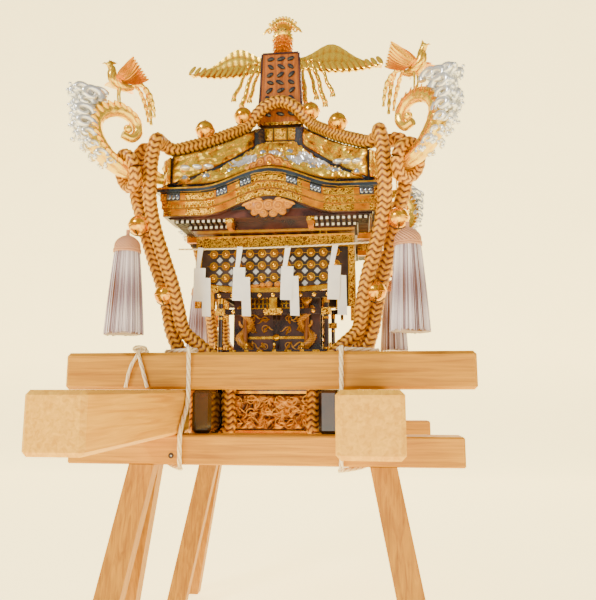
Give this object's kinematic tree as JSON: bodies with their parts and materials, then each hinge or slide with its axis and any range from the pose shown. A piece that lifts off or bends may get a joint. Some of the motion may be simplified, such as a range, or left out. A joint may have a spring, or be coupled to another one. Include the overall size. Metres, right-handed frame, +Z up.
{
  "type": "portable shrine",
  "caption": "Gilded portable shrine with a curved roof, bird finial, thick corner cords with bells and tassels, resting with its carrying poles on two timber trestles.",
  "frame": {"origin": "on the floor, under the middle of the shrine", "axes": "+Z up, front faces -Y, carrying poles along Y, +X to the viewer's right"},
  "size_m": [1.16, 2, 2.1891],
  "materials": {
    "pine": "plain planed timber",
    "black_lacquer": "black gloss lacquer",
    "black_gilt": "black lacquer with gilt panels",
    "gilt": "gilt metal, worked in relief",
    "brown_lacquer": "dark brown lacquer",
    "carved_wood": "carved and oiled",
    "board_wood": "polished",
    "braided_cord": "thick braided cord",
    "tassel_thread": "fine silky thread",
    "straw_rope": "twisted rope",
    "paper": "folded white paper"
  },
  "bodies": {
    "root": {"trestle_beam_front": "pine", "trestle_beam_rear": "pine", "trestle_legs_front_left": "pine", "trestle_legs_front_right": "pine", "trestle_legs_rear_left": "pine", "trestle_legs_rear_right": "pine", "cross_pole_front": "pine", "cross_pole_rear": "pine", "side_pole_front_left": "pine", "side_pole_front_right": "pine", "side_pole_rear_left": "pine", "side_pole_rear_right": "pine", "main_pole_left": "black_lacquer", "main_pole_right": "black_lacquer", "lashing_front_left": "straw_rope", "lashing_front_right": "straw_rope", "lashing_rear_left": "straw_rope", "lashing_rear_right": "straw_rope", "base": "gilt", "chamber": "gilt", "roof": "gilt", "phoenix": "gilt", "fence_front": "gilt", "fence_right": "gilt", "fence_rear": "gilt", "fence_left": "gilt", "torii_front": "gilt", "torii_rear": "gilt", "gable_board_front": "gilt", "gable_board_right": "gilt", "gable_board_rear": "gilt", "gable_board_left": "gilt", "net_frame_front": "gilt", "net_frame_right": "gilt", "net_frame_rear": "gilt", "net_frame_left": "gilt", "corner_scroll_front_left": "gilt", "corner_scroll_front_right": "gilt", "corner_scroll_rear_left": "gilt", "corner_scroll_rear_right": "gilt", "small_bird_front_left": "gilt", "small_bird_front_right": "gilt", "small_bird_rear_left": "gilt", "small_bird_rear_right": "gilt", "eaves_rafters": "brown_lacquer", "dew_basin": "black_gilt", "dragon_post_left": "carved_wood", "dragon_post_right": "carved_wood", "gable_pendant_front": "carved_wood", "gable_pendant_right": "carved_wood", "gable_pendant_rear": "carved_wood", "gable_pendant_left": "carved_wood", "name_board": "board_wood", "cord_front": "braided_cord", "cord_rear": "braided_cord", "tassel_front_left": "tassel_thread", "tassel_front_right": "tassel_thread", "tassel_rear_left": "tassel_thread", "tassel_rear_right": "tassel_thread", "paper_streamers": "paper"}
  },
  "joints": []
}
